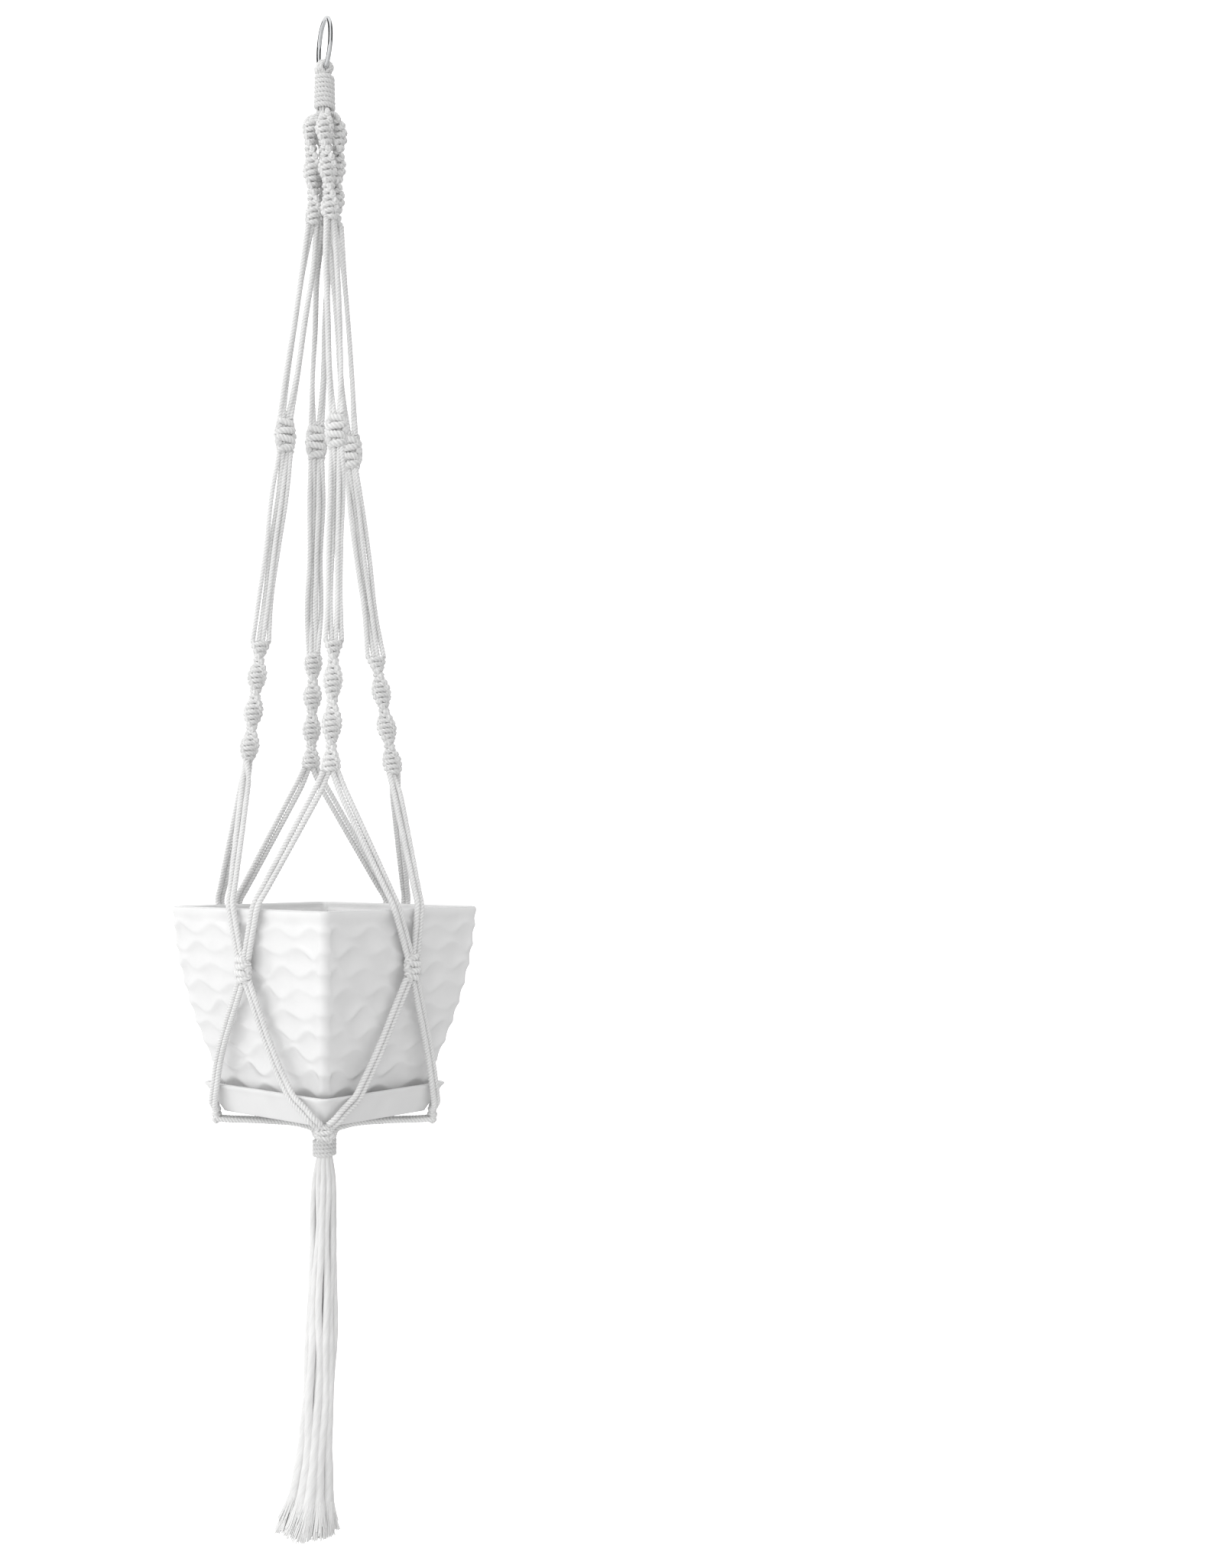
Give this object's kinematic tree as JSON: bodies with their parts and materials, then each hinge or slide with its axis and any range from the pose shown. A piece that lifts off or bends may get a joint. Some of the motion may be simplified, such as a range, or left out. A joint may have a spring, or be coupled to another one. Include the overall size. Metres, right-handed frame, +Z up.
{
  "type": "hanging macrame planter",
  "caption": "Knotted cotton rope hanger on a metal ring, holding a tapered square glazed pot and its saucer, with a long tassel below.",
  "frame": {"origin": "the hook's seat, at the inside top of the ring", "axes": "+Z up, along the hanger; -Y the front, +X to the right seen from the front; a corner of the pot points along each of +X, -X, +Y and -Y"},
  "size_m": [0.2068, 0.2068, 1.042],
  "materials": {
    "polished_ring": "polished",
    "cotton_cord": "matte twisted cotton cord",
    "wrap_cord": "matte twisted cotton cord, wound tight",
    "pot_glaze": "gloss white glaze over a rippled relief",
    "saucer_glaze": "gloss white glaze"
  },
  "bodies": {
    "ring": {"hanging_ring": "polished_ring"},
    "crown": {"crown_loops": "cotton_cord", "top_wrap": "wrap_cord"},
    "cradle": {"upper_sennit_left": "cotton_cord", "upper_strands_left": "cotton_cord", "mid_knot_left": "cotton_cord", "lower_strands_left": "cotton_cord", "lower_spiral_left": "cotton_cord", "upper_sennit_back": "cotton_cord", "upper_strands_back": "cotton_cord", "mid_knot_back": "cotton_cord", "lower_strands_back": "cotton_cord", "lower_spiral_back": "cotton_cord", "upper_sennit_front": "cotton_cord", "upper_strands_front": "cotton_cord", "mid_knot_front": "cotton_cord", "lower_strands_front": "cotton_cord", "lower_spiral_front": "cotton_cord", "upper_sennit_right": "cotton_cord", "upper_strands_right": "cotton_cord", "mid_knot_right": "cotton_cord", "lower_strands_right": "cotton_cord", "lower_spiral_right": "cotton_cord", "side_knot_front_left": "cotton_cord", "side_knot_front_right": "cotton_cord", "side_knot_back_left": "cotton_cord", "side_knot_back_right": "cotton_cord", "upper_net_left_arm_front_left": "cotton_cord", "lower_net_front_left_to_left": "cotton_cord", "upper_net_front_arm_front_left": "cotton_cord", "lower_net_front_left_to_front": "cotton_cord", "upper_net_right_arm_front_right": "cotton_cord", "lower_net_front_right_to_right": "cotton_cord", "upper_net_front_arm_front_right": "cotton_cord", "lower_net_front_right_to_front": "cotton_cord", "upper_net_left_arm_back_left": "cotton_cord", "lower_net_back_left_to_left": "cotton_cord", "upper_net_back_arm_back_left": "cotton_cord", "lower_net_back_left_to_back": "cotton_cord", "upper_net_right_arm_back_right": "cotton_cord", "lower_net_back_right_to_right": "cotton_cord", "upper_net_back_arm_back_right": "cotton_cord", "lower_net_back_right_to_back": "cotton_cord", "corner_knot_left": "cotton_cord", "base_cords_left": "cotton_cord", "corner_knot_back": "cotton_cord", "base_cords_back": "cotton_cord", "corner_knot_front": "cotton_cord", "base_cords_front": "cotton_cord", "corner_knot_right": "cotton_cord", "base_cords_right": "cotton_cord", "gather_core": "cotton_cord", "bottom_wrap": "wrap_cord", "square_saucer": "saucer_glaze"},
    "pot": {"square_pot": "pot_glaze"},
    "tassel": {"tassel_tail_left": "cotton_cord", "tassel_tail_back": "cotton_cord", "tassel_tail_front": "cotton_cord", "tassel_tail_right": "cotton_cord"}
  },
  "joints": [
    {"name": "planter_swing", "type": "hinge", "parent": "ring", "child": "crown", "pos_m": [0, 0, -0.0317], "axis": [-0.2419, 0.9703, 0], "range_deg": [-20, 20]},
    {"name": "planter_twist", "type": "hinge", "parent": "crown", "child": "cradle", "pos_m": [0, 0, -0.061], "axis": [0, 0, 1], "range_deg": [-45, 45]},
    {"name": "pot_lift", "type": "slide", "parent": "cradle", "child": "pot", "axis": [0, 0, 1], "range_m": [0, 0.003]},
    {"name": "tassel_swing", "type": "hinge", "parent": "cradle", "child": "tassel", "pos_m": [0, 0, -0.7745], "axis": [0, 1, 0], "range_deg": [-25, 25]}
  ]
}
